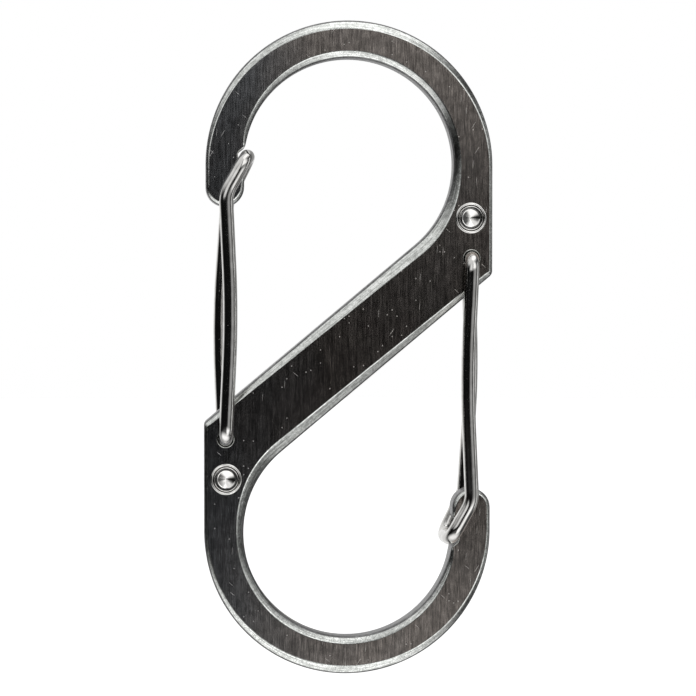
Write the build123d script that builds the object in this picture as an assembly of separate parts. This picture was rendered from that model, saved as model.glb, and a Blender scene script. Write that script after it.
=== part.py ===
"""Double-ended carabiner: a flat S-shaped steel plate with a sprung wire gate across each hook.

Millimetres. +Z runs up the plate's length, +X to its right and -Y out of its front face.
The origin is the plate's centre, and half a turn about Y carries each hook onto the other.
"""

import os
from math import cos, radians, sin, tan

from build123d import *

# Plate
PLATE_THICKNESS = 2.4
CROWN_RADIUS = 13.6  # outside of each hook
CROWN_CENTRE = (0.1, 17.4)  # of the upper hook, as (x, z)
EYE_RADIUS = 9.95  # inside of each hook
EYE_CENTRE_X = 0.05
BAR_ANGLE = 39.9  # of the diagonal bar, above the horizontal
BAR_WIDTH = 6.84
NOSE_CENTRE_Z = 15.2  # of the round end of the upper hook's nose
CORNER_RADIUS = 0.7
PLATE_CHAMFER = 0.4

# Notch in the nose that the gate's tip sits in, upper hook, as (x, z)
NOTCH_UPPER_MOUTH = (-8.3, 20.16)
NOTCH_UPPER_ROOT = (-10.5, 18.43)
NOTCH_LOWER_ROOT = (-10.35, 16.43)
NOTCH_LOWER_MOUTH = (-8.3, 15.02)
NOTCH_ROOT_RADIUS = 0.5
NOTCH_LIP_RADIUS = 0.5
NOTCH_LIPS = ((-9.73, 19.04), (-9.9, 16.12))  # near where the notch breaks the nose's edge

# Gate wire of the upper hook, as (x, z)
WIRE_RADIUS = 0.675
LEG_GAP = 0.15  # between a leg and the plate's face
FRONT_PIVOT = (-11.7, -8.55)  # where the front leg enters the plate
REAR_PIVOT = (-11.63, -12.35)  # where the rear leg enters the plate, from behind
FRONT_BOW = (-11.15, 3.2)  # corner that sets each leg's gentle bow
REAR_BOW = (-12.2, 2.6)
FRONT_KNEE = (-11.65, 14.5)  # where each leg turns in towards the notch
REAR_KNEE = (-11.4, 14.1)
FRONT_TIP = (-9.65, 18.05)  # where each leg turns across the plate's edge
REAR_TIP = (-9.42, 18.12)
FOOT_BEND = 0.85
TIP_BEND = 1.15
KNEE_BEND = 3.0
BOW_SHARE = 0.42  # of the shorter run beside a bow, taken up by its arc
SEAT_CLEARANCE = 0.05  # between the rear leg's ball end and the foot it turns on
FOOT_TOP = 0.35  # from the ball's centre down to the rim of its seat

# Pivot holes and the semi-tubular rivets that line them
HOLE_CLEARANCE = 0.08
HOLE_CHAMFER = 0.08
RIVET_RADIUS = 1.48
RIVET_SHANK_RADIUS = 1.05
RIVET_SHANK_LENGTH = 1.1
RIVET_SEAT_DEPTH = 0.4
BORE_CLEARANCE = 0.06
MOUTH_RADIUS = 0.98
MOUTH_DEPTH = 0.4
RIVET_RING = [(1.42, 0.055), (1.34, 0.07), (1.28, 0.04)]  # rolled outer ring, as (radius, height)
RIVET_GROOVE = (1.2, -0.06)
RIVET_LIP = [(1.08, 0.04), (1.04, 0.04), (MOUTH_RADIUS, -0.06)]
PEEN_RADIUS = 0.92  # of the wire's spread end
PEEN_HEIGHT = 0.3
PEEN_SUNK = 0.05
PEEN_EDGE = 0.08
DIMPLE_RADIUS = 0.8
DIMPLE_DEPTH = 0.25

HALF = PLATE_THICKNESS / 2
LEG_Y = HALF + LEG_GAP + WIRE_RADIUS
LOWER = Rotation(0, 180, 0)  # carries the upper hook's pieces onto the lower hook
FRONT, BACK = -1, 1  # faces of the plate, as the sign of Y


def s_outline():
    """The plate's outline, drawn as one hook and the same hook turned round."""
    along = Vector(cos(radians(BAR_ANGLE)), sin(radians(BAR_ANGLE)))
    across = Vector(-along.Y, along.X)
    eye_z = (BAR_WIDTH / 2 + EYE_RADIUS - EYE_CENTRE_X * across.X) / across.Y
    eye = Vector(EYE_CENTRE_X, eye_z)
    crown = Vector(*CROWN_CENTRE)
    side_x = crown.X + CROWN_RADIUS
    nose_left = crown.X - CROWN_RADIUS
    nose_right = eye.X - EYE_RADIUS
    nose = Vector((nose_left + nose_right) / 2, NOSE_CENTRE_Z)
    bar_end = eye - across * EYE_RADIUS
    corner = bar_end - along * ((bar_end.X + side_x) / along.X)

    hook = [
        Line(corner, bar_end),
        CenterArc(eye, EYE_RADIUS, BAR_ANGLE - 90, 270 - BAR_ANGLE),
        Line((nose_right, eye.Y), (nose_right, nose.Y)),
        CenterArc(nose, (nose_right - nose_left) / 2, 0, -180),
        Line((nose_left, nose.Y), (nose_left, crown.Y)),
        CenterArc(crown, CROWN_RADIUS, 180, -180),
        Line((side_x, crown.Y), (side_x, -corner.Y)),
    ]
    other_hook = [Rotation(0, 0, 180) * edge for edge in hook]
    outline = make_face(hook + other_hook)
    corners = [outline.vertices().sort_by_distance(point)[0] for point in (corner, -corner)]
    return fillet(corners, CORNER_RADIUS)


def cut_notch(outline, turn):
    """Cut the gate's notch into one nose and round its four corners."""
    points = [NOTCH_UPPER_MOUTH, NOTCH_UPPER_ROOT, NOTCH_LOWER_ROOT, NOTCH_LOWER_MOUTH]
    notch = make_face(Polyline(*points, close=True))
    outline = outline - turn * notch
    roots = [turn * Vertex(*point) for point in (NOTCH_UPPER_ROOT, NOTCH_LOWER_ROOT)]
    found = [outline.vertices().sort_by_distance(root)[0] for root in roots]
    outline = fillet(found, NOTCH_ROOT_RADIUS)
    lips = [turn * Vertex(*point) for point in NOTCH_LIPS]
    found = [outline.vertices().sort_by_distance(lip)[0] for lip in lips]
    return fillet(found, NOTCH_LIP_RADIUS)


def face_plane(pivot, side):
    """A plane on one face of the plate at a pivot, looking out of that face."""
    return Plane(origin=(pivot[0], side * HALF, pivot[1]), x_dir=(1, 0, 0), z_dir=(0, side, 0))


def turned(points):
    """A solid of revolution from a half section given as (radius, height)."""
    return revolve(Plane.XZ * make_face(Polyline(*points, close=True)), Axis.Z)


def pivot_hole():
    """The space one hole takes out of the plate, measured from the face the rivet's head is on."""
    entry = WIRE_RADIUS + HOLE_CLEARANCE
    return turned([
        (0, 1),
        (RIVET_RADIUS, 1),
        (RIVET_RADIUS, -RIVET_SEAT_DEPTH),
        (RIVET_SHANK_RADIUS, -RIVET_SEAT_DEPTH),
        (RIVET_SHANK_RADIUS, -RIVET_SHANK_LENGTH),
        (entry, -RIVET_SHANK_LENGTH),
        (entry, -PLATE_THICKNESS + HOLE_CHAMFER),
        (entry + HOLE_CHAMFER, -PLATE_THICKNESS),
        (entry + HOLE_CHAMFER, -PLATE_THICKNESS - 1),
        (0, -PLATE_THICKNESS - 1),
    ])


def pivot_rivet():
    """A flanged sleeve whose head is rolled into an outer ring and an inner lip."""
    bore = WIRE_RADIUS + BORE_CLEARANCE
    return turned([
        (bore, -RIVET_SHANK_LENGTH),
        (RIVET_SHANK_RADIUS, -RIVET_SHANK_LENGTH),
        (RIVET_SHANK_RADIUS, -RIVET_SEAT_DEPTH),
        (RIVET_RADIUS, -RIVET_SEAT_DEPTH),
        (RIVET_RADIUS, 0),
        *RIVET_RING,
        RIVET_GROOVE,
        *RIVET_LIP,
        (MOUTH_RADIUS, -MOUTH_DEPTH),
        (bore, -MOUTH_DEPTH),
    ])


def spread_end():
    """The wire's end inside the rivet's mouth, spread by a cone punched into it."""
    bottom = -PEEN_SUNK - PEEN_HEIGHT
    return turned([
        (0, bottom),
        (PEEN_RADIUS - PEEN_EDGE, bottom),
        (PEEN_RADIUS, bottom + PEEN_EDGE),
        (PEEN_RADIUS, -PEEN_SUNK),
        (DIMPLE_RADIUS, -PEEN_SUNK),
        (0, -PEEN_SUNK - DIMPLE_DEPTH),
    ])


def wire_along(points, radii):
    """Round wire following straight runs joined by arcs."""
    path = FilletPolyline(*points, radius=radii)
    return sweep(Plane(path @ 0, z_dir=path % 0) * Circle(WIRE_RADIUS), path=path)


def bow_radius(before, corner, after):
    """The radius of an arc that takes up a fixed share of the shorter run beside a corner."""
    before, corner, after = Vector(*before), Vector(*corner), Vector(*after)
    run_in, run_out = corner - before, after - corner
    tangent = BOW_SHARE * min(run_in.length, run_out.length)
    return tangent / tan(radians(run_in.get_angle(run_out)) / 2)


def gate_wire():
    """The upper gate: pin, front leg, tip across the nose, and rear leg down to the hinge line."""
    pin_end = HALF - PEEN_SUNK - PEEN_HEIGHT
    pivot_x, pivot_z = FRONT_PIVOT
    front = [FRONT_PIVOT, FRONT_BOW, FRONT_KNEE, FRONT_TIP]
    rear = [REAR_TIP, REAR_KNEE, REAR_BOW, FRONT_PIVOT]
    points = [(pivot_x, pin_end, pivot_z)]
    points += [(x, -LEG_Y, z) for x, z in front]
    points += [(x, LEG_Y, z) for x, z in rear]
    radii = [FOOT_BEND, bow_radius(*front[:3]), KNEE_BEND, TIP_BEND]
    radii += [TIP_BEND, KNEE_BEND, bow_radius(*rear[1:])]
    wire = wire_along(points, radii)

    down = Vector(*points[-1]) - Vector(*points[-2])
    ball = Plane(points[-1], z_dir=down) * Sphere(WIRE_RADIUS, arc_size1=0, arc_size2=90)
    return wire + ball + face_plane(FRONT_PIVOT, BACK) * spread_end()


def rear_foot():
    """The fixed lower end of the rear leg: a cupped top, and a pin through the plate."""
    pivot_x, pivot_z = FRONT_PIVOT
    pin_end = -HALF + PEEN_SUNK + PEEN_HEIGHT
    points = [
        (pivot_x, LEG_Y, pivot_z - FOOT_TOP),
        (REAR_PIVOT[0], LEG_Y, REAR_PIVOT[1]),
        (REAR_PIVOT[0], pin_end, REAR_PIVOT[1]),
    ]
    foot = wire_along(points, [FOOT_BEND])
    foot -= Pos(pivot_x, LEG_Y, pivot_z) * Sphere(WIRE_RADIUS + SEAT_CLEARANCE)
    return foot + face_plane(REAR_PIVOT, FRONT) * spread_end()


def s_plate():
    """The plate with its noses notched, its edges bevelled and its four pivot holes cut."""
    outline = s_outline()
    for turn in (Rotation(0, 0, 0), Rotation(0, 0, 180)):
        outline = cut_notch(outline, turn)
    plate = extrude(Plane.XZ * outline, HALF, both=True)
    plate = chamfer(plate.faces().filter_by(Axis.Y).edges(), PLATE_CHAMFER)
    for turn in (Rotation(0, 0, 0), LOWER):
        plate -= turn * (face_plane(FRONT_PIVOT, BACK) * pivot_hole())
        plate -= turn * (face_plane(REAR_PIVOT, FRONT) * pivot_hole())
    return plate


def save(shape, name):
    solids = shape.solids()
    assert len(solids) == 1, f"{name} has {len(solids)} solids"
    export_step(solids[0], f"parts/{name}.step")


os.makedirs("parts", exist_ok=True)
save(s_plate(), "frame_plate")
for name, turn in (("upper", Rotation(0, 0, 0)), ("lower", LOWER)):
    save(turn * gate_wire(), f"{name}_gate_wire")
    save(turn * rear_foot(), f"{name}_gate_rear_foot")
    save(turn * (face_plane(FRONT_PIVOT, BACK) * pivot_rivet()), f"{name}_gate_front_leg_rivet")
    save(turn * (face_plane(REAR_PIVOT, FRONT) * pivot_rivet()), f"{name}_gate_rear_leg_rivet")
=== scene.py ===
"""Looks for the double-ended carabiner: a brushed steel S plate, two wire gates and four rivets.

Lengths are in millimetres until Shell.build() turns them into metres. +Z is up the plate, +X is to
its right and -Y is out of its front face. Half a turn about Y carries one hook onto the other.
"""

import math

import bmesh
import bpy
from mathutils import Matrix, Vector
from mathutils.geometry import tessellate_polygon


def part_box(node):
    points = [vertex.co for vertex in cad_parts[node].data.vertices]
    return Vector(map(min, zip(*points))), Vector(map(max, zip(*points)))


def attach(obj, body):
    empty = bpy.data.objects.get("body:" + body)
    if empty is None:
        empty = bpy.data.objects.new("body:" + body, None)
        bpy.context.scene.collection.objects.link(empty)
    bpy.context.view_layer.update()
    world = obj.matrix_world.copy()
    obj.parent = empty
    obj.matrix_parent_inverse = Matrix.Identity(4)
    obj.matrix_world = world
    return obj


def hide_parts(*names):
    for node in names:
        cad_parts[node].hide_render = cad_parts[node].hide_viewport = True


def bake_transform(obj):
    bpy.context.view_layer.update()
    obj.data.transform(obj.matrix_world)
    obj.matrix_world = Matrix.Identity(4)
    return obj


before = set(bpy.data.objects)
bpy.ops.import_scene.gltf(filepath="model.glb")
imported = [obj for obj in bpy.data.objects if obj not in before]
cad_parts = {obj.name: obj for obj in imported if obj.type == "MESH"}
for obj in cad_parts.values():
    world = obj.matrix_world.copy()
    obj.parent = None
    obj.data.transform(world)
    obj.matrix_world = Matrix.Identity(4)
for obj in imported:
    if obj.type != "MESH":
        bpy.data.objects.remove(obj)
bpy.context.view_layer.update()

MM = 0.001
_, plate_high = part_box("frame_plate")

# Plate, as in the CAD
HALF_LENGTH = plate_high.z / MM
HALF_WIDTH = plate_high.x / MM
HALF_THICK = plate_high.y / MM
CROWN_RADIUS = 13.6
CROWN_X = HALF_WIDTH - CROWN_RADIUS
EYE_RADIUS = 9.95
EYE_X = 0.05
BAR_ANGLE = math.radians(39.9)
BAR_WIDTH = 6.84
CORNER_RADIUS = 0.7
NOSE_BOTTOM = 13.4
NOTCH_UPPER_ROOT = Vector((-10.5, 18.43))
NOTCH_LOWER_ROOT = Vector((-10.35, 16.43))
NOTCH_UPPER_SLOPE = math.radians(38.2)
NOTCH_LOWER_SLOPE = math.radians(-34.6)
NOTCH_START = math.radians(167)  # where the eye's arc gives way to the notch
NOTCH_RADIUS = 0.5  # of its roots and lips
OUTLINE_STEP = 0.35

# Bevels, as widths on the face. The CAD has one even chamfer instead.
BEVEL_CROWN = 0.78
BEVEL_SIDE = 0.25
BEVEL_EYE = 0.62
BEVEL_BAR = 0.98
BEVEL_CORNER = 0.45
BEVEL_NOSE = 0.36
BEVEL_NOTCH = 0.08
BEVEL_SLOPE = 0.6  # depth over width
EDGE_SOFTNESS = 0.07
RIM_SOFTNESS = 0.19  # of the corner between wall and bevel
SOFT_STEPS = 4
WIDTH_BLEND = 3  # outline points on each side that even out a change of width

# Gate wire, as in the CAD, with (x, z) points of the upper gate
WIRE_RADIUS = 0.675
LEG_GAP = 0.15  # between a leg and the plate's face
LEG_Y = HALF_THICK + LEG_GAP + WIRE_RADIUS
FRONT_PIVOT = (-11.7, -8.55)
REAR_PIVOT = (-11.63, -12.35)
FRONT_BOW = (-11.15, 3.2)
REAR_BOW = (-12.2, 2.6)
FRONT_KNEE = (-11.65, 14.5)
REAR_KNEE = (-11.4, 14.1)
FRONT_TIP = (-9.65, 18.05)
REAR_TIP = (-9.42, 18.12)
TIP_BEND = 1.15
KNEE_BEND = 3.0
BOW_SHARE = 0.42  # of the shorter run beside a bow, taken up by its arc

# Gate wire, only here
FOOT_BEND = 1.08  # into the pin, wider than the CAD's. At 1.2 it meets the hole's rim.
WIRE_STEP = 0.3
WIRE_SIDES = 40
SEAM_Z = 9.0  # where the rear leg's own piece takes over, well above its bending part
CREASE = math.radians(38)  # edges of the wires and rivets that turn more than this stay sharp

# Pivot holes and rivets. The heads are finer than the CAD's.
HOLE_RADIUS = WIRE_RADIUS + 0.08
HOLE_CHAMFER = 0.08
BORE_RADIUS = WIRE_RADIUS + 0.06
RIVET_RADIUS = 1.48
RIVET_SIDES = 96
SHANK_RADIUS = 1.05
SHANK_LENGTH = 1.1
SEAT_DEPTH = 0.4
RING_BASE = -0.05  # of the rolled outer ring, from the plate's face
RING_PROUD = 0.07
RING_CREST = 1.36  # radius at the ring's crest
RING_HALF_WIDTH = 0.12
RIVET_GROOVE = [(1.225, -0.085), (1.2, -0.1), (1.175, -0.085)]  # (radius, height)
LIP_BASE = -0.07  # of the thin inner lip
LIP_HEIGHT = 0.12
LIP_CREST = 1.105
LIP_HALF_WIDTH = 0.055
MOUTH_RADIUS = 1.03
MOUTH_DEPTH = 0.4

# The wire's spread end in its rivet
PEEN_RADIUS = 0.88
PEEN_SUNK = 0.05
PEEN_HEIGHT = 0.3
DIMPLE_RADIUS = 0.8

# Tones of the metals
# the blue face tone is partly a painted reflection, for the face's darker left side
BROWN_FACE, BLUE_TINT_AND_PAINTED_REFLECTION = (0.34, 0.305, 0.28), (0.22, 0.225, 0.235)
SCRATCH = (0.9, 0.88, 0.85)
BEVEL_TONE, WALL_TONE = (0.8, 0.82, 0.79), (0.25, 0.25, 0.25)
WIRE_DULL, WIRE_BRIGHT, WIRE_SPECK = (0.66, 0.65, 0.63), (0.8, 0.79, 0.77), (0.3, 0.29, 0.28)
# the last rivet tone is near-black painted shade for the mouth and the groove
RIVET_DULL, RIVET_BRIGHT, RIVET_PAINTED_SHADE = (0.82, 0.81, 0.79), (0.96, 0.95, 0.92), (0.02, 0.02, 0.02)
WHITE = (1.0, 1.0, 1.0)

# Marks on the faces: (turn in degrees, cells per millimetre each way, size, share of the cells)
MARKS = (
    (0, (2.2, 2.2), 0.13, 0.05),  # specks
    (33, (7, 0.3), 0.14, 0.012),  # hairline scratches
    (-50, (8, 0.4), 0.14, 0.01),
    (4, (7, 0.3), 0.14, 0.02),
)
PAINTED_SHADE_RINGS = ((1.035, 0.045), (1.2, 0.035))  # painted shade in a rivet's mouth and groove, as (radius, half width)

# Camera and stage
CAMERA_DISTANCE = 200.0
CAMERA_LEFT, CAMERA_ABOVE = math.radians(5.0), math.radians(1.5)
CAMERA_LENS = 108.65
TABLE_Z = -80.0
TABLE_RADIUS = 1500.0
TABLE_SIDES = 96
ROOM_LIGHT = 0.006  # that reflections show in the dark parts of the room

FACE, EDGE, WALL = 0, 1, 2  # material slots of the plate


def direction(angle):
    return Vector((math.cos(angle), math.sin(angle)))


def tangent_corner(centre, radius, start, end):
    """Where the tangents of a circle at two angles meet."""
    return centre + direction((start + end) / 2) * (radius / math.cos((end - start) / 2))


def crossing(point_a, along_a, point_b, along_b):
    """Where two lines in a plane meet."""
    gap = point_b - point_a
    spread = along_a.x * along_b.y - along_a.y * along_b.x
    share = (gap.x * along_b.y - gap.y * along_b.x) / spread
    return point_a + along_a * share


def smooth(share):
    return share * share * (3 - 2 * share)


def rounded(corners, step, closed=False):
    """Points along straight runs joined by arcs, as [(point, value)], at most step apart. A corner
    is (point, radius, value before, value after), and the larger value keeps more of the arc."""
    arcs = []
    for i, (point, radius, before_value, after_value) in enumerate(corners):
        if not closed and i in (0, len(corners) - 1):
            arcs.append([(point, before_value)])
            continue
        run_in = (point - corners[i - 1][0]).normalized()
        run_out = (corners[(i + 1) % len(corners)][0] - point).normalized()
        turn = run_in.angle(run_out)
        start = point - run_in * radius * math.tan(turn / 2)
        centre = point + (run_out - run_in).normalized() * (radius / math.cos(turn / 2))
        count = max(6, math.ceil(radius * turn / step))
        arc = []
        for k in range(count + 1):
            angle = turn * k / count
            on_arc = centre + (start - centre) * math.cos(angle) + run_in * radius * math.sin(angle)
            share = smooth(k / count)
            share = share**0.6 if after_value > before_value else 1 - (1 - share) ** 0.6
            arc.append((on_arc, before_value + (after_value - before_value) * share))
        arcs.append(arc)

    path = []
    for i, arc in enumerate(arcs):
        path += arc
        if i == len(arcs) - 1 and not closed:
            break
        start, start_value = arc[-1]
        end, end_value = arcs[(i + 1) % len(arcs)][0]
        count = math.ceil((end - start).length / step)
        for k in range(1, count):
            share = k / count
            path.append((start.lerp(end, share), start_value + (end_value - start_value) * share))
    return [at for i, at in enumerate(path) if (at[0] - path[i - 1][0]).length > step / 100]


def plate_corners():
    """The upper hook's half of the S, from its left corner round to its right side."""
    along, across = direction(BAR_ANGLE), direction(BAR_ANGLE + math.pi / 2)
    eye = Vector((EYE_X, (BAR_WIDTH / 2 + EYE_RADIUS - EYE_X * across.x) / across.y))
    nose_left, nose_right = CROWN_X - CROWN_RADIUS, EYE_X - EYE_RADIUS
    nose_radius = (nose_right - nose_left) / 2
    up = Vector((0, 1))
    left_corner = crossing(across * BAR_WIDTH / 2, along, Vector((-HALF_WIDTH, 0)), up)
    notch_lip = crossing(
        eye + direction(NOTCH_START) * EYE_RADIUS,
        direction(NOTCH_START + math.pi / 2),
        NOTCH_UPPER_ROOT,
        direction(NOTCH_UPPER_SLOPE),
    )
    notch_sill = crossing(
        NOTCH_LOWER_ROOT, direction(NOTCH_LOWER_SLOPE), Vector((nose_right, 0)), up
    )
    right_angle, bar_side = math.pi / 2, BAR_ANGLE - math.pi / 2
    eye_corners = [
        tangent_corner(eye, EYE_RADIUS, start, end)
        for start, end in ((bar_side, 0), (0, right_angle), (right_angle, NOTCH_START))
    ]
    return [
        (left_corner, CORNER_RADIUS, BEVEL_SIDE, BEVEL_CORNER),
        (eye_corners[0], EYE_RADIUS, BEVEL_BAR, BEVEL_EYE),
        (eye_corners[1], EYE_RADIUS, BEVEL_EYE, BEVEL_EYE),
        (eye_corners[2], EYE_RADIUS, BEVEL_EYE, BEVEL_NOSE),
        (notch_lip, NOTCH_RADIUS, BEVEL_NOTCH, BEVEL_NOTCH),
        (NOTCH_UPPER_ROOT, NOTCH_RADIUS, BEVEL_NOTCH, BEVEL_NOTCH),
        (NOTCH_LOWER_ROOT, NOTCH_RADIUS, BEVEL_NOTCH, BEVEL_NOTCH),
        (notch_sill, NOTCH_RADIUS, BEVEL_NOTCH, BEVEL_NOTCH),
        (Vector((nose_right, NOSE_BOTTOM)), nose_radius, BEVEL_NOSE, BEVEL_NOSE),
        (Vector((nose_left, NOSE_BOTTOM)), nose_radius, BEVEL_NOSE, BEVEL_SIDE),
        (Vector((nose_left, HALF_LENGTH)), CROWN_RADIUS, BEVEL_SIDE, BEVEL_CROWN),
        (Vector((HALF_WIDTH, HALF_LENGTH)), CROWN_RADIUS, BEVEL_CROWN, BEVEL_SIDE),
    ]


def plate_outline():
    """[(point, outward normal, bevel width)] round the whole plate."""
    half = plate_corners()
    corners = half + [(-point, radius, a, b) for point, radius, a, b in half]
    path = rounded(corners, OUTLINE_STEP, closed=True)
    count = len(path)
    outline = []
    for i, (point, _) in enumerate(path):
        tangent = (path[(i + 1) % count][0] - path[i - 1][0]).normalized()
        near = [path[(i + k) % count][1] for k in range(-WIDTH_BLEND, WIDTH_BLEND + 1)]
        outline.append((point, Vector((-tangent.y, tangent.x)), sum(near) / len(near)))
    return outline


def bevel_section(width):
    """One bevel in section, with soft corners, as (inset, height) from the edge to the face."""
    depth = width * BEVEL_SLOPE
    wall, face = Vector((0, HALF_THICK - depth)), Vector((width, HALF_THICK))
    slope = (face - wall).normalized()
    section = []
    for corner, run_in, run_out, softness in (
        (wall, Vector((0, 1)), slope, RIM_SOFTNESS),
        (face, slope, Vector((1, 0)), EDGE_SOFTNESS),
    ):
        soft = min(softness, width / 2.5)
        start, end = corner - run_in * soft, corner + run_out * soft
        for k in range(SOFT_STEPS + 1):
            share = k / SOFT_STEPS
            section.append(start.lerp(corner, share).lerp(corner.lerp(end, share), share))
    return section


def ring(centre, radius, count=72):
    return [centre + direction(2 * math.pi * k / count) * radius for k in range(count)]


class Shell:
    """Collects one mesh, with a material slot, a shading and UVs for each face."""

    def __init__(self):
        self.vertices, self.faces, self.slots, self.smooths, self.uvs = [], [], [], [], []

    def add(self, points):
        """Adds vertices, and returns their indices."""
        first = len(self.vertices)
        self.vertices.extend(points)
        return list(range(first, len(self.vertices)))

    def face(self, corners, slot=0, uvs=None, is_smooth=True):
        self.faces.append(tuple(corners))
        self.slots.append(slot)
        self.smooths.append(is_smooth)
        self.uvs.append(uvs or [(0, 0)] * len(corners))

    def join(self, rows, slot=0, along=None, across=None):
        """Joins rows of vertices, each closed on itself. along has a u for each column and for the
        column that closes the row, and across has a v for each row."""
        for i, (upper, lower) in enumerate(zip(rows, rows[1:])):
            for k in range(len(upper)):
                nxt = (k + 1) % len(upper)
                uvs = None
                if along is not None:
                    places = ((k, i), (k + 1, i), (k + 1, i + 1), (k, i + 1))
                    uvs = [(along[a], across[b]) for a, b in places]
                self.face((upper[k], upper[nxt], lower[nxt], lower[k]), slot, uvs)

    def build(self, name, materials):
        """Makes the object, and turns its millimetres into metres."""
        mesh = bpy.data.meshes.new(name)
        mesh.from_pydata([Vector(v) * MM for v in self.vertices], [], self.faces)
        for material in materials:
            mesh.materials.append(material)
        for polygon, slot, is_smooth in zip(mesh.polygons, self.slots, self.smooths):
            polygon.material_index = slot
            polygon.use_smooth = is_smooth
        layer = mesh.uv_layers.new(name="along")
        for loop, uv in zip(layer.data, (uv for face in self.uvs for uv in face)):
            loop.uv = uv
        mesh.validate()
        mesh.update()
        made = bpy.data.objects.new(name, mesh)
        bpy.context.scene.collection.objects.link(made)
        return made


def turn_outward(made, weld=False):
    """Turns every face of a closed mesh to look out of it. weld also closes a wire's start cap onto
    the wire, and keeps creases sharp."""
    edit = bmesh.new()
    edit.from_mesh(made.data)
    if weld:
        bmesh.ops.remove_doubles(edit, verts=edit.verts, dist=1e-8)
    bmesh.ops.recalc_face_normals(edit, faces=edit.faces)
    if weld:
        for edge in edit.edges:
            if len(edge.link_faces) == 2 and edge.calc_face_angle() > CREASE:
                edge.smooth = False
    edit.to_mesh(made.data)
    edit.free()


def hole_section(head_side):
    """A pivot hole's wall as (radius, y) from the front face to the back. The rivet's seat is in
    the back face for head_side 1 and in the front face for -1."""
    back_head = [
        (HOLE_RADIUS + HOLE_CHAMFER, -HALF_THICK),
        (HOLE_RADIUS + 0.02, -HALF_THICK + 0.035),
        (HOLE_RADIUS, -HALF_THICK + HOLE_CHAMFER),
        (HOLE_RADIUS, HALF_THICK - SHANK_LENGTH),
        (SHANK_RADIUS, HALF_THICK - SHANK_LENGTH),
        (SHANK_RADIUS, HALF_THICK - SEAT_DEPTH),
        (RIVET_RADIUS, HALF_THICK - SEAT_DEPTH),
        (RIVET_RADIUS, HALF_THICK),
    ]
    if head_side > 0:
        return back_head
    return [(radius, -y) for radius, y in reversed(back_head)]


def s_plate(materials):
    """The plate as one closed mesh: bevelled rim, two flat faces and four stepped holes."""
    shell = Shell()
    outline = plate_outline()
    sections = [bevel_section(width) for _, _, width in outline]
    columns = len(sections[0])

    # UVs in millimetres: u runs along the outline, and v across the rim as at the crown
    along = [0.0]
    for i, (point, _, _) in enumerate(outline):
        along.append(along[-1] + (outline[(i + 1) % len(outline)][0] - point).length)
    usual = [Vector(at) for at in bevel_section(BEVEL_CROWN)]
    reach = [1.0 + (at - usual[0]).length for at in usual]
    across = [-v for v in reversed(reach)] + reach

    rim = []
    for side in (-1, 1):
        for c in reversed(range(columns)) if side < 0 else range(columns):
            row = []
            for (point, normal, _), section in zip(outline, sections):
                inset, height = section[c]
                at = point - normal * inset
                row.append((at.x, side * height, at.y))
            rim.append(shell.add(row))
    front, back = columns - SOFT_STEPS - 1, columns + SOFT_STEPS
    shell.join(rim[: front + 1], EDGE, along, across[: front + 1])
    shell.join(rim[front : back + 1], WALL, along, across[front : back + 1])
    shell.join(rim[back:], EDGE, along, across[back:])

    loops = {-1: [rim[0]], 1: [rim[-1]]}
    for sign in (1, -1):
        for pivot, head_side in ((FRONT_PIVOT, 1), (REAR_PIVOT, -1)):
            centre = Vector(pivot) * sign
            rows = [
                shell.add([(p.x, y, p.y) for p in ring(centre, radius)])
                for radius, y in hole_section(head_side)
            ]
            shell.join(rows, EDGE)
            loops[-1].append(rows[0])
            loops[1].append(rows[-1])

    for indices in loops.values():
        flat = [
            [Vector((shell.vertices[i][0], shell.vertices[i][2], 0)) for i in loop]
            for loop in indices
        ]
        order = [i for loop in indices for i in loop]
        for triangle in tessellate_polygon(flat):
            shell.face([order[i] for i in triangle], FACE, is_smooth=False)

    made = shell.build("s_plate", materials)
    turn_outward(made)
    return made


def tube(name, path, head, materials):
    """Round wire along a path. head is the shape of its far end, as (distance past the end,
    radius), and has the second material."""
    count = len(path)
    tangents = [
        (path[min(i + 1, count - 1)] - path[max(i - 1, 0)]).normalized() for i in range(count)
    ]
    across = Vector((1, 0, 0)) if abs(tangents[0].x) < 0.9 else Vector((0, 0, 1))
    shell = Shell()
    rows, travelled = [], [0.0]

    def add_ring(centre, tangent, radius):
        upright = tangent.cross(across)
        points = []
        for k in range(WIRE_SIDES):
            angle = 2 * math.pi * k / WIRE_SIDES
            points.append(centre + (across * math.cos(angle) + upright * math.sin(angle)) * radius)
        rows.append(shell.add(points))

    for i, (point, tangent) in enumerate(zip(path, tangents)):
        across = (across - tangent * across.dot(tangent)).normalized()
        if i:
            travelled.append(travelled[-1] + (point - path[i - 1]).length)
        add_ring(point, tangent, WIRE_RADIUS)
    for distance, radius in head:
        end = path[-1] + tangents[-1] * distance
        travelled.append(travelled[count - 1] + distance)
        add_ring(end, tangents[-1], radius)

    round_it = [k / WIRE_SIDES for k in range(WIRE_SIDES + 1)]
    shell.join(rows[:count], 0, round_it, travelled[:count])
    shell.join(rows[count - 1 :], 1, [0] * len(round_it), travelled[count - 1 :])
    shell.face(shell.add(shell.vertices[:WIRE_SIDES]))
    (tip,) = shell.add([end])
    for k in range(WIRE_SIDES):
        shell.face((rows[-1][k], rows[-1][(k + 1) % WIRE_SIDES], tip), 1, [(0, travelled[-1])] * 3)
    made = shell.build(name, materials)
    turn_outward(made, weld=True)
    return made


# The wire's spread end: past the pin, out to the peened rim, over it and down the punched cone
PEEN = [
    (0.02, PEEN_RADIUS - 0.06),
    (0.08, PEEN_RADIUS),
    (PEEN_HEIGHT - 0.03, PEEN_RADIUS),
    (PEEN_HEIGHT, PEEN_RADIUS - 0.03),
    (PEEN_HEIGHT - 0.01, DIMPLE_RADIUS),
    (PEEN_HEIGHT - 0.04, DIMPLE_RADIUS - 0.04),
    (0.06, 0.4),
    (-0.12, 0.1),
    (-0.14, 0.04),
]


def bow(before, corner, after):
    """A corner whose arc takes up a fixed share of the shorter run beside it."""
    run_in, run_out = corner - before, after - corner
    reach = BOW_SHARE * min(run_in.length, run_out.length)
    return reach / math.tan(run_in.angle(run_out) / 2)


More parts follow.
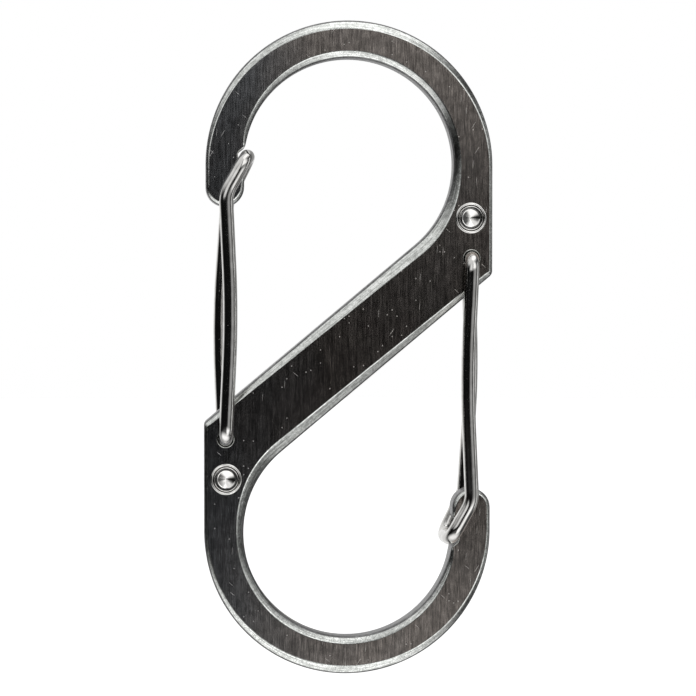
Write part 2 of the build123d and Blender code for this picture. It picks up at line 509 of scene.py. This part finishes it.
def gate_route(sign):
    """Corners of one gate's wire from the front leg's pin to the rear leg's pin."""
    pin = HALF_THICK - PEEN_SUNK - PEEN_HEIGHT

    def at(point, y):
        return Vector((sign * point[0], y, sign * point[1]))

    front = [at(p, -LEG_Y) for p in (FRONT_PIVOT, FRONT_BOW, FRONT_KNEE, FRONT_TIP)]
    rear = [at(p, LEG_Y) for p in (REAR_TIP, REAR_KNEE, REAR_BOW, REAR_PIVOT)]
    radii = [0, FOOT_BEND, bow(*front[:3]), KNEE_BEND, TIP_BEND]
    radii += [TIP_BEND, KNEE_BEND, bow(*rear[1:]), FOOT_BEND, 0]
    points = [at(FRONT_PIVOT, pin)] + front + rear + [at(REAR_PIVOT, -pin)]
    return [(point, radius, 0, 0) for point, radius in zip(points, radii)]


def gate(name, sign, materials):
    """One gate's wire as two pieces: all of it that swings, and the rear leg."""
    path = [point for point, _ in rounded(gate_route(sign), WIRE_STEP)]
    seam = max(i for i, point in enumerate(path) if point.y > 0 and sign * point.z > SEAM_Z)
    swinging = tube(f"{name}_gate", list(reversed(path[: seam + 1])), PEEN, materials)
    rear_leg = tube(f"{name}_gate_rear_leg", path[seam:], PEEN, materials)
    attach(swinging, f"{name}_gate")
    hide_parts(f"{name}_gate_wire")
    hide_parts(f"{name}_gate_rear_foot")
    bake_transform(rear_leg)


def rib(crest, half_width, base, height, steps):
    """A rounded rib in section, as (radius, height), from its outer foot to its inner one."""
    angles = [math.pi * k / steps for k in range(steps + 1)]
    return [(crest + half_width * math.cos(a), height * math.sin(a) + base) for a in angles]


def rivet_section():
    """A rivet in half section as (radius, height): sleeve, rolled ring, groove and inner lip."""
    return [
        (BORE_RADIUS, -SHANK_LENGTH),
        (SHANK_RADIUS, -SHANK_LENGTH),
        (SHANK_RADIUS, -SEAT_DEPTH),
        (RIVET_RADIUS, -SEAT_DEPTH),
        (RIVET_RADIUS, RING_BASE),
        *rib(RING_CREST, RING_HALF_WIDTH, RING_BASE, RING_PROUD - RING_BASE, 12),
        *RIVET_GROOVE,
        *rib(LIP_CREST, LIP_HALF_WIDTH, LIP_BASE, LIP_HEIGHT, 8),
        (MOUTH_RADIUS + 0.01, -0.12),
        (MOUTH_RADIUS, -0.17),
        (MOUTH_RADIUS, -MOUTH_DEPTH),
        (BORE_RADIUS, -MOUTH_DEPTH),
    ]


def rivet(name, pivot, sign, side, material):
    """One rivet in its hole, its head on the front face for side -1 and on the back for 1."""
    shell = Shell()
    section = rivet_section()
    rows = []
    for radius, height in section:
        y = side * (HALF_THICK + height)
        rows.append(
            shell.add([(p.x, y, p.y) for p in ring(Vector(pivot) * sign, radius, RIVET_SIDES)])
        )
    round_it = [k / RIVET_SIDES for k in range(RIVET_SIDES + 1)]
    radii = [radius for radius, _ in section]
    shell.join(rows + rows[:1], 0, round_it, radii + radii[:1])
    made = shell.build(f"{name}_head", [material])
    turn_outward(made, weld=True)
    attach(made, "frame")
    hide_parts(name)


class Nodes:
    """A node tree, built by short calls."""

    def __init__(self, tree):
        self.tree = tree

    def put(self, socket, value):
        if isinstance(value, bpy.types.NodeSocket):
            self.tree.links.new(value, socket)
        else:
            socket.default_value = value

    def add(self, kind, inputs=None, **settings):
        node = self.tree.nodes.new(kind)
        for key, value in settings.items():
            setattr(node, key, value)
        for key, value in (inputs or {}).items():
            self.put(node.inputs[key], value)
        return node

    def math(self, operation, *values, clamp=False):
        node = self.add("ShaderNodeMath", operation=operation, use_clamp=clamp)
        for socket, value in zip(node.inputs, values):
            self.put(socket, value)
        return node.outputs[0]

    def chain(self, operation, first, *rest):
        """Joins any number of values by one operation."""
        for value in rest:
            first = self.math(operation, first, value)
        return first

    def ramp(self, value, low, high, to_low=0.0, to_high=1.0):
        """A soft step from to_low at low up or down to to_high at high."""
        keys = ("Value", "From Min", "From Max", "To Min", "To Max")
        inputs = dict(zip(keys, (value, low, high, to_low, to_high)))
        node = self.add("ShaderNodeMapRange", inputs, interpolation_type="SMOOTHSTEP")
        return node.outputs["Result"]

    def scaled(self, coordinates, scale):
        return self.add("ShaderNodeMapping", {"Vector": coordinates, "Scale": scale}).outputs[0]


class Material(Nodes):
    """A material's node tree, round its one shader."""

    def __init__(self, name):
        self.material = bpy.data.materials.new(name)
        self.material.use_nodes = True
        super().__init__(self.material.node_tree)
        self.shader = self.tree.nodes["Principled BSDF"]

    def coordinates(self, kind):
        return self.add("ShaderNodeTexCoord").outputs[kind]

    def millimetres(self):
        """The piece's own position in millimetres."""
        return self.scaled(self.coordinates("Object"), (1 / MM,) * 3)

    def noise(self, coordinates, scale, detail=3.0, roughness=0.5):
        """Noise with scale waves to each unit of the coordinates, one number for each axis."""
        node = self.add(
            "ShaderNodeTexNoise",
            {
                "Vector": self.scaled(coordinates, scale),
                "Scale": 1.0,
                "Detail": detail,
                "Roughness": roughness,
            },
        )
        return node.outputs["Fac"]

    def mix(self, factor, a, b, blend="MIX"):
        """Mixes two colours, each a socket or (red, green, blue)."""
        a, b = ((*tone, 1.0) if isinstance(tone, tuple) else tone for tone in (a, b))
        inputs = {0: factor, 6: a, 7: b}
        node = self.add("ShaderNodeMix", data_type="RGBA", blend_type=blend)
        for key, value in inputs.items():
            self.put(node.inputs[key], value)
        return node.outputs[2]

    def shaded(self, base, shade):
        """A colour made lighter or darker by one value."""
        grey = self.add("ShaderNodeCombineColor", {0: shade, 1: shade, 2: shade}).outputs[0]
        return self.mix(1.0, base, grey, "MULTIPLY")

    def bump(self, height, strength, distance):
        inputs = {"Height": height, "Strength": strength, "Distance": distance}
        return self.add("ShaderNodeBump", inputs).outputs[0]

    def filled(self, inputs):
        """Fills in the shader, and returns the material."""
        for key, value in inputs.items():
            self.put(self.shader.inputs[key], value)
        return self.material

    def metal(self, base, roughness, normal):
        return self.filled(
            {"Metallic": 1.0, "Base Color": base, "Roughness": roughness, "Normal": normal}
        )


def flecks(n, place, turn, scale, reach, share):
    """A few small spots of the flat faces, or hairlines where the two scales differ."""
    flat = n.add("ShaderNodeSeparateXYZ", {"Vector": place}).outputs
    flat = n.add("ShaderNodeCombineXYZ", {"X": flat["X"], "Y": flat["Z"]}).outputs[0]
    rotation = (0, 0, math.radians(turn))
    turned = n.add("ShaderNodeMapping", {"Vector": flat, "Rotation": rotation}).outputs[0]
    cells = n.add(
        "ShaderNodeTexVoronoi",
        {"Vector": n.scaled(turned, (*scale, 1)), "Scale": 1.0, "Randomness": 1.0},
        voronoi_dimensions="2D",
    )
    chosen = n.add("ShaderNodeSeparateColor", {0: cells.outputs["Color"]}).outputs[0]
    inside = n.ramp(cells.outputs["Distance"], reach, reach / 2)
    return n.math("MULTIPLY", inside, n.math("LESS_THAN", chosen, share))


def face_steel():
    """Dark stainless brushed along Z, with specks, hairline scratches and a painted reflection:
    darker and bluer to the left.
    """
    n = Material("brushed_face")
    place = n.millimetres()
    strands = n.noise(place, (16, 1, 0.55), detail=6, roughness=0.72)
    coarse = n.noise(place, (4.5, 1, 0.22))
    tint = n.noise(place, (0.16, 1, 0.1), detail=2)
    mottle = n.noise(place, (1.7, 1, 1.1), detail=4, roughness=0.6)
    mark = n.chain("MAXIMUM", *(flecks(n, place, *mark) for mark in MARKS))

    x_place = n.add("ShaderNodeSeparateXYZ", {"Vector": place}).outputs["X"]
    # painted reflection: the face turns darker and bluer to the left, mixed with a random tint
    painted_reflection_left = n.ramp(x_place, 1.0, -13.0)
    tint_and_painted_reflection = n.math("MULTIPLY_ADD", n.math("SUBTRACT", tint, 0.5), 1.1, painted_reflection_left, clamp=True)
    brushed = n.ramp(strands, 0.36, 0.66, 0.45, 1.45)
    streaks = n.math("MULTIPLY", brushed, n.ramp(mottle, 0.35, 0.65, 0.8, 1.2))
    base = n.shaded(n.mix(tint_and_painted_reflection, BROWN_FACE, BLUE_TINT_AND_PAINTED_REFLECTION), streaks)
    base = n.mix(n.math("MULTIPLY", mark, 0.55), base, SCRATCH)
    rough = n.math("MULTIPLY_ADD", coarse, 0.12, 0.1)
    rough = n.math("MULTIPLY_ADD", mark, 0.25, rough)
    height = n.math("ADD", strands, n.math("MULTIPLY", mark, -0.8))
    return n.metal(base, rough, n.bump(height, 0.35, 0.00002))


def grainy_steel(name, tone, roughness, relief):
    """Cut metal as blanking and tumbling leave it: two sizes of grain, and lines along the cut."""
    n = Material(name)
    place = n.millimetres()
    fine = n.noise(place, (12, 12, 12), roughness=0.65)
    coarse = n.noise(place, (2.6, 2.6, 2.6))
    lines = n.noise(n.coordinates("UV"), (0.3, 8.0, 1.0), detail=4, roughness=0.65)
    shade = n.chain(
        "MULTIPLY",
        n.ramp(fine, 0.36, 0.64, 0.7, 1.2),
        n.ramp(coarse, 0.35, 0.65, 0.8, 1.1),
        n.ramp(lines, 0.36, 0.64, 0.65, 1.2),
    )
    rough = n.math("MULTIPLY_ADD", coarse, 0.15, roughness)
    normal = n.bump(n.math("ADD", fine, lines), relief, 0.00005)
    return n.metal(n.shaded(tone, shade), rough, normal)


def wire_steel():
    """Polished spring wire with faint lines drawn along it."""
    n = Material("drawn_wire")
    place = n.millimetres()
    lines = n.noise(n.coordinates("UV"), (70, 0.5, 1))
    wear = n.noise(place, (1.4, 1.4, 1.4), detail=4)
    specks = n.ramp(n.noise(place, (7, 7, 7), detail=2), 0.68, 0.74)
    base = n.mix(n.ramp(wear, 0.35, 0.7), WIRE_DULL, WIRE_BRIGHT)
    base = n.mix(n.math("MULTIPLY", specks, 0.3), base, WIRE_SPECK)
    rough = n.math("MULTIPLY_ADD", wear, 0.08, 0.03)
    rough = n.math("MULTIPLY_ADD", specks, 0.15, rough)
    return n.metal(base, rough, n.bump(lines, 0.3, 0.00002))


def rivet_steel():
    """Bright turned steel, with fine rings round the head and near-black painted shade in its mouth
    and groove. Its UVs have the radius as v.
    """
    n = Material("turned_rivet")
    radius = n.add("ShaderNodeSeparateXYZ", {"Vector": n.coordinates("UV")}).outputs["Y"]
    rings = n.noise(n.add("ShaderNodeCombineXYZ", {"X": radius}).outputs[0], (42, 1, 1))
    wear = n.noise(n.millimetres(), (2.6, 2.6, 2.6), detail=4)
    base = n.mix(n.ramp(wear, 0.35, 0.7), RIVET_DULL, RIVET_BRIGHT)
    in_painted_shade = n.chain("MAXIMUM", *(n.math("COMPARE", radius, *in_painted_shade) for in_painted_shade in PAINTED_SHADE_RINGS))
    # painted shade: near black in the rivet's mouth and groove
    base = n.mix(n.math("MULTIPLY", in_painted_shade, 0.93), base, RIVET_PAINTED_SHADE)
    rough = n.math("MULTIPLY_ADD", wear, 0.1, 0.06)
    return n.metal(base, rough, n.bump(rings, 0.25, 0.00002))


def studio_world():
    """A white backdrop to look at, and a dark room with lamps and cards for reflections to show."""
    world = bpy.data.worlds.new("studio")
    bpy.context.scene.world = world
    world.use_nodes = True
    n = Nodes(world.node_tree)
    n.tree.nodes.clear()
    way = n.add("ShaderNodeTexCoord").outputs["Generated"]
    x, y, z = n.add("ShaderNodeSeparateXYZ", {"Vector": way}).outputs

    def lamp(*edges):
        """The product of a lamp's soft edges, each as the arguments of ramp()."""
        return n.chain("MULTIPLY", *(n.ramp(*edge) for edge in edges))

    lean = n.math("MULTIPLY", x, -0.2)
    up = n.math("ADD", z, lean)
    down = n.math("ADD", n.math("MULTIPLY", z, -0.97), lean)
    off_band = n.math("ABSOLUTE", n.math("ADD", z, 0.022))  # away from the camera's height
    lamps = (
        lamp((up, 0.4, 0.78, 0.0, 0.85)),  # softbox above
        lamp((down, 0.36, 0.84, 0.0, 1.25), (y, 0.25, -0.35, 0.3, 1.0)),  # pale table
        lamp((y, 0.1, 0.7), (x, 0.4, -0.1, 0.35, 0.95)),  # white card behind
        lamp((x, 0.84, 0.95, 0.0, 0.85), (n.math("ABSOLUTE", y), 0.25, 0.05)),  # strip on the right
        lamp((x, 0.17, 0.5, 0.0, 0.38), (y, -0.44, -0.6, 0.15, 1.0)),  # grey wall on the right
        # in front, a dark band that lightens up and down, and more to the right
        lamp((off_band, 0.03, 0.3, 0.0, 1.95), (x, 0.0, 0.12, 0.06, 0.72), (y, -0.3, -0.8)),
        lamp((x, -0.06, -0.16, 0.0, 0.9), (z, 0.07, 0.16), (y, -0.5, -0.8)),  # card up to the left
    )
    light = n.math("ADD", n.chain("MAXIMUM", *lamps), ROOM_LIGHT)
    reflected = n.add("ShaderNodeBackground", {"Color": (*WHITE, 1.0), "Strength": light})
    backdrop = n.add("ShaderNodeBackground", {"Color": (*WHITE, 1.0)})
    seen = n.add("ShaderNodeLightPath").outputs["Is Camera Ray"]
    mixed = n.add("ShaderNodeMixShader", {0: seen, 1: reflected.outputs[0], 2: backdrop.outputs[0]})
    n.add("ShaderNodeOutputWorld", {"Surface": mixed.outputs[0]})


def floor():
    """A pale round table well below the clip. Reflections show the world's table instead."""
    table_paint = Material("pale_table").filled(
        {
            "Base Color": (0.85, 0.85, 0.85, 1.0),
            "Roughness": 0.9,
            "Emission Color": (*WHITE, 1.0),
            "Emission Strength": 0.5,
        }
    )
    shell = Shell()
    edge = ring(Vector((0, 0)), TABLE_RADIUS, TABLE_SIDES)
    shell.face(shell.add([(p.x, p.y, TABLE_Z) for p in edge]), is_smooth=False)
    made = shell.build("table", [table_paint])
    made.visible_glossy = False


def softbox():
    """A faint lamp above, in metres and watts, aimed at the clip."""
    data = bpy.data.lights.new("softbox", "AREA")
    data.shape = "RECTANGLE"
    data.size, data.size_y = 0.5, 0.3
    data.energy = 0.25
    light = bpy.data.objects.new("softbox", data)
    bpy.context.scene.collection.objects.link(light)
    light.location = (0.12, -0.1, 0.5)
    light.rotation_euler = (-light.location).to_track_quat("-Z", "Y").to_euler()


def camera():
    """Close to square on to the front face, a little to the left and above."""
    data = bpy.data.cameras.new("camera")
    data.sensor_width = 36.0
    data.lens = CAMERA_LENS
    data.clip_start, data.clip_end = 0.01, 10.0
    made = bpy.data.objects.new("camera", data)
    bpy.context.scene.collection.objects.link(made)
    level = math.cos(CAMERA_ABOVE)
    back = Vector(
        (-math.sin(CAMERA_LEFT) * level, -math.cos(CAMERA_LEFT) * level, math.sin(CAMERA_ABOVE))
    )
    made.location = back * CAMERA_DISTANCE * MM
    made.rotation_euler = back.to_track_quat("Z", "Y").to_euler()
    bpy.context.scene.camera = made


camera()
studio_world()
floor()
softbox()
bpy.context.scene.view_settings.view_transform = "Standard"

bevels = grainy_steel("tumbled_bevel", BEVEL_TONE, 0.06, 0.15)
walls = grainy_steel("sheared_wall", WALL_TONE, 0.25, 0.8)
plate = s_plate([face_steel(), bevels, walls])
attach(plate, "frame")
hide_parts("frame_plate")

wire, turned = wire_steel(), rivet_steel()
for name, sign in (("upper", 1), ("lower", -1)):
    gate(name, sign, [wire, turned])
    rivet(f"{name}_gate_front_leg_rivet", FRONT_PIVOT, sign, 1, turned)
    rivet(f"{name}_gate_rear_leg_rivet", REAR_PIVOT, sign, -1, turned)
